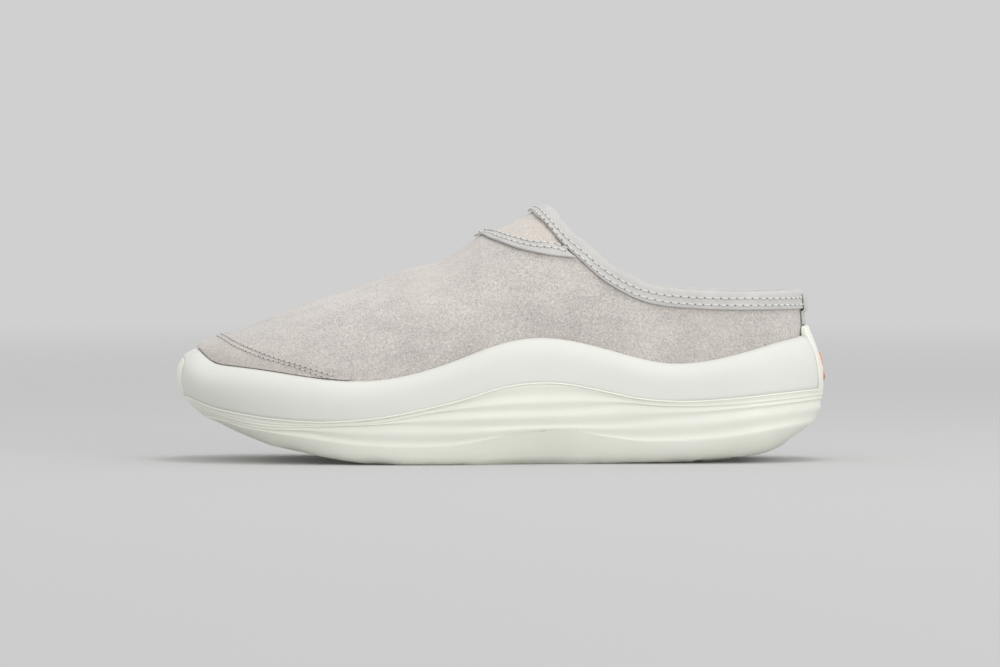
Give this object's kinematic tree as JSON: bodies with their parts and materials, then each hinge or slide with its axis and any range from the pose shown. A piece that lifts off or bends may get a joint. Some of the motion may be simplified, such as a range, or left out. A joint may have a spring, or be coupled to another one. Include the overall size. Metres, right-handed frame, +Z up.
{
  "type": "sneaker mule",
  "caption": "Slip-on suede sneaker mule, a left shoe, with a bound open collar, instep panel, toe cap and a thick wavy foam sole in a rubber shell.",
  "frame": {"origin": "on the floor under the middle of the shoe's bounding box", "axes": "+X along the sole towards the heel, +Z up, -Y towards the outer side"},
  "size_m": [0.2996, 0.1116, 0.1182],
  "materials": {
    "outsole": "cream rubber with a low sheen",
    "midsole": "matte white moulded foam",
    "insole": "beige fabric on foam",
    "upper": "beige suede",
    "toe_cap": "beige suede",
    "instep_panel": "peach beige suede",
    "collar_binding": "smooth light grey tape",
    "instep_tape": "smooth light grey tape",
    "heel_strip": "smooth light grey tape",
    "heel_badge": "plain coral rubber"
  },
  "bodies": {
    "root": {"outsole": "outsole", "midsole": "midsole", "insole": "insole", "upper": "upper", "toe_cap": "toe_cap", "instep_panel": "instep_panel", "collar_binding": "collar_binding", "instep_tape": "instep_tape", "heel_strip": "heel_strip", "heel_badge": "heel_badge"}
  },
  "joints": []
}
